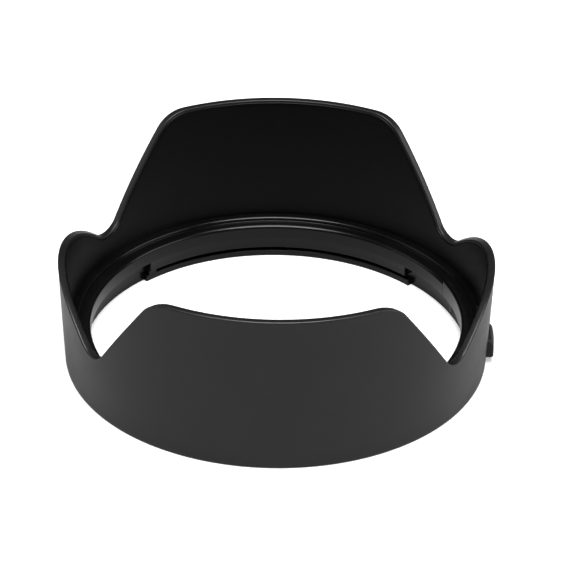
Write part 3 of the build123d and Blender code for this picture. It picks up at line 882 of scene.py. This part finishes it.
def bump(nodes, shader, height, depth, strength=1.0):
    """Feeds a height through a bump node, its depth in metres."""
    node = nodes.add("ShaderNodeBump", {"Height": height, "Distance": depth, "Strength": strength})
    nodes.tree.links.new(node.outputs["Normal"], shader.inputs["Normal"])


def moulded_plastic(name, colour, rubbed, roughness, grain_size, grain_depth, wear, dust, level):
    """Black moulded plastic with mould grain, rubbed edges, patches of polish and a little dust."""
    material, nodes, shader = start_material(name, Specular_IOR_Level=level)
    place = nodes.add("ShaderNodeTexCoord").outputs["Object"]
    grain = nodes.group("grain", {"Vector": place, "Size": grain_size})
    worn = nodes.group("wear", {"Vector": place, "Amount": wear})
    dusty = nodes.group("dust", {"Vector": place, "Amount": dust})
    patch = nodes.ramp(grain.outputs["Patch"], 0.35, 0.65)
    base = nodes.blend(patch, (*[c * 0.88 for c in colour], 1), (*[c * 1.12 for c in colour], 1))
    base = nodes.blend(worn.outputs["Mask"], base, (*rubbed, 1))
    base = nodes.blend(dusty.outputs["Mask"], base, (0.2, 0.19, 0.18, 1))
    nodes.tree.links.new(base, shader.inputs["Base Color"])
    dull = nodes.ramp(grain.outputs["Patch"], 0.3, 0.7, roughness - 0.03, roughness + 0.03)
    polished = nodes.math("SUBTRACT", dull, nodes.math("MULTIPLY", worn.outputs["Mask"], 0.12))
    nodes.tree.links.new(polished, shader.inputs["Roughness"])
    bump(nodes, shader, grain.outputs["Height"], grain_depth)
    return material


def flock_material():
    """Black flock that swallows light, with a faint sheen off its fibre tips."""
    material, nodes, shader = start_material(
        "black_flock", Roughness=0.33, Specular_IOR_Level=0.11, Sheen_Weight=0.01, Sheen_Roughness=0.6
    )
    shader.inputs["Sheen Tint"].default_value = (0.12, 0.12, 0.125, 1)
    place = nodes.add("ShaderNodeTexCoord").outputs["Object"]
    fibres = nodes.group("fibres", {"Vector": place, "Size": 0.07 * MM})
    base = nodes.blend(fibres.outputs["Shade"], (0.001, 0.001, 0.00105, 1), (0.0018, 0.0018, 0.0019, 1))
    dusty = nodes.group("dust", {"Vector": place, "Amount": 0.12})
    base = nodes.blend(dusty.outputs["Mask"], base, (0.1, 0.095, 0.09, 1))
    nodes.tree.links.new(base, shader.inputs["Base Color"])
    bump(nodes, shader, fibres.outputs["Height"], 0.012 * MM)
    return material


def drawn_steel(name, colour, roughness, streak):
    """Steel with fine drawing or tool marks: noise stretched along one direction."""
    material, nodes, shader = start_material(name, Metallic=1.0)
    place = nodes.add("ShaderNodeTexCoord").outputs["Object"]
    stretched = nodes.add("ShaderNodeMapping", {"Vector": place, "Scale": streak}).outputs["Vector"]
    marks = nodes.noise(stretched, 4000.0, 3.0)
    spots = nodes.ramp(nodes.noise(place, 1500.0, 3.0), 0.55, 0.8)
    base = nodes.blend(spots, (*colour, 1), (*[c * 0.7 for c in colour], 1))
    nodes.tree.links.new(base, shader.inputs["Base Color"])
    rough = nodes.ramp(marks, 0.3, 0.7, roughness - 0.08, roughness + 0.1)
    nodes.tree.links.new(rough, shader.inputs["Roughness"])
    bump(nodes, shader, marks, 0.004 * MM)
    return material


def dress(piece, material, slot, body, *replaced):
    """Gives a new piece its material and body, and lets it stand for its CAD node. The slot is not used.
    """
    piece.data.materials.clear()
    piece.data.materials.append(material)
    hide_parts(*replaced)
    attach(piece, body)


def repaint(node, material):
    """Gives a CAD node a better material."""
    target = frame["nodes"][node]
    for index in range(len(target.material_slots)):
        target.material_slots[index].material = material


# ======================================================================
# Stage
# ======================================================================


def white_floor():
    """A plain pale floor, a hair under the hood so that the two surfaces aren't in one plane.

    Seen straight on it is nearly white and glows a little. What the hood mirrors of it is greyer.
    """
    turns = ((-1, -1), (1, -1), (1, 1), (-1, 1))
    corners = [(x * FLOOR_REACH, y * FLOOR_REACH, -FLOOR_DROP) for x, y in turns]
    mesh = bpy.data.meshes.new("floor")
    mesh.from_pydata(corners, [], [(0, 1, 2, 3)])
    floor = bpy.data.objects.new("floor", mesh)
    bpy.context.scene.collection.objects.link(floor)
    material, nodes, shader = start_material("pale_floor", Roughness=0.9, Specular_IOR_Level=0.1)
    seen = nodes.add("ShaderNodeLightPath").outputs["Is Camera Ray"]
    tone = nodes.blend(seen, (*[FLOOR_MIRRORED] * 3, 1), (*[FLOOR_SEEN] * 3, 1))
    nodes.tree.links.new(tone, shader.inputs["Base Color"])
    glow = nodes.blend(seen, (0, 0, 0, 1), (*[FLOOR_GLOW] * 3, 1))
    nodes.tree.links.new(glow, shader.inputs["Emission Color"])
    shader.inputs["Emission Strength"].default_value = 1.0
    mesh.materials.append(material)


def soft_light(name, place, size, power):
    """A soft box at a place, turned to the hood."""
    data = bpy.data.lights.new(name, "AREA")
    data.shape = "RECTANGLE"
    data.size, data.size_y = size
    data.energy = power
    light = bpy.data.objects.new(name, data)
    light.location = place
    light.rotation_euler = (Vector(LIGHT_TARGET) - Vector(place)).to_track_quat("-Z", "Y").to_euler()
    bpy.context.scene.collection.objects.link(light)


def lighting():
    """One large soft box above, one at each side, and a dim even surround."""
    world = bpy.data.worlds.new("surround")
    world.use_nodes = True
    background = world.node_tree.nodes["Background"]
    background.inputs["Color"].default_value = (1, 1, 1, 1)
    background.inputs["Strength"].default_value = SURROUND
    bpy.context.scene.world = world
    for soft_box in SOFT_BOXES:
        soft_light(*soft_box)


def camera():
    """A camera aimed at the hood's base from above and in front, panned, tilted and rolled a little."""
    elevation, azimuth = radians(VIEW_ELEVATION), radians(VIEW_AZIMUTH)
    pan, tilt, roll = radians(VIEW_PAN), radians(VIEW_TILT), radians(VIEW_ROLL)
    forward = Vector((-sin(azimuth) * cos(elevation), cos(azimuth) * cos(elevation), -sin(elevation)))
    right = Vector((cos(azimuth), sin(azimuth), 0))
    up = right.cross(forward)
    place = -forward * VIEW_DISTANCE
    forward, right = forward * cos(pan) - right * sin(pan), right * cos(pan) + forward * sin(pan)
    forward, up = forward * cos(tilt) + up * sin(tilt), up * cos(tilt) - forward * sin(tilt)
    right, up = right * cos(roll) + up * sin(roll), up * cos(roll) - right * sin(roll)
    data = bpy.data.cameras.new("camera")
    data.lens = LENS
    data.clip_start = 0.02
    viewer = bpy.data.objects.new("camera", data)
    viewer.matrix_world = Matrix.Translation(place) @ Matrix((right, up, -forward)).transposed().to_4x4()
    bpy.context.scene.collection.objects.link(viewer)
    bpy.context.scene.camera = viewer


# ======================================================================
# The hood
# ======================================================================

camera()
white_floor()
lighting()
bpy.context.scene.view_settings.view_transform = "Standard"

shell_plastic = moulded_plastic(
    "satin_shell_plastic",
    colour=(0.006, 0.006, 0.0063),
    rubbed=(0.02, 0.02, 0.0205),
    roughness=0.36,
    grain_size=0.09 * MM,
    grain_depth=0.004 * MM,
    wear=0.3,
    dust=0.15,
    level=0.4,
)
ring_plastic = moulded_plastic(
    "smooth_ring_plastic",
    colour=(0.002, 0.002, 0.0021),
    rubbed=(0.012, 0.012, 0.0123),
    roughness=0.21,
    grain_size=0.07 * MM,
    grain_depth=0.001 * MM,
    wear=0.12,
    dust=0.05,
    level=0.27,
)
button_plastic = moulded_plastic(
    "matt_button_plastic",
    colour=(0.009, 0.009, 0.0095),
    rubbed=(0.03, 0.03, 0.03),
    roughness=0.5,
    grain_size=0.08 * MM,
    grain_depth=0.005 * MM,
    wear=0.5,
    dust=0.15,
    level=0.35,
)
lever_plastic = moulded_plastic(
    "black_acetal",
    colour=(0.02, 0.02, 0.02),
    rubbed=(0.04, 0.04, 0.04),
    roughness=0.35,
    grain_size=0.06 * MM,
    grain_depth=0.002 * MM,
    wear=0.0,
    dust=0.0,
    level=0.5,
)
blackened_steel = drawn_steel("blackened_steel", (0.05, 0.05, 0.055), 0.4, (1, 1, 1))
spring_steel = drawn_steel("bright_spring_steel", (0.56, 0.56, 0.57), 0.28, (1, 1, 0.05))

dress(hood_shell_moulding(), shell_plastic, "shell_plastic", "hood", "hood_shell")
dress(flock_layer(), flock_material(), "flock", "hood", "flock_lining")
dress(bayonet_ring_moulding(), ring_plastic, "ring_plastic", "hood", "bayonet_ring")
dress(lock_cover_moulding(), ring_plastic, "ring_plastic", "hood", "lock_cover")
dress(release_button_moulding(), button_plastic, "button_plastic", "button", "release_button")
repaint("lock_lever", lever_plastic)
repaint("cover_screw", blackened_steel)
for steel_node in ("retaining_clip", "lever_pin", "lever_spring"):
    repaint(steel_node, spring_steel)
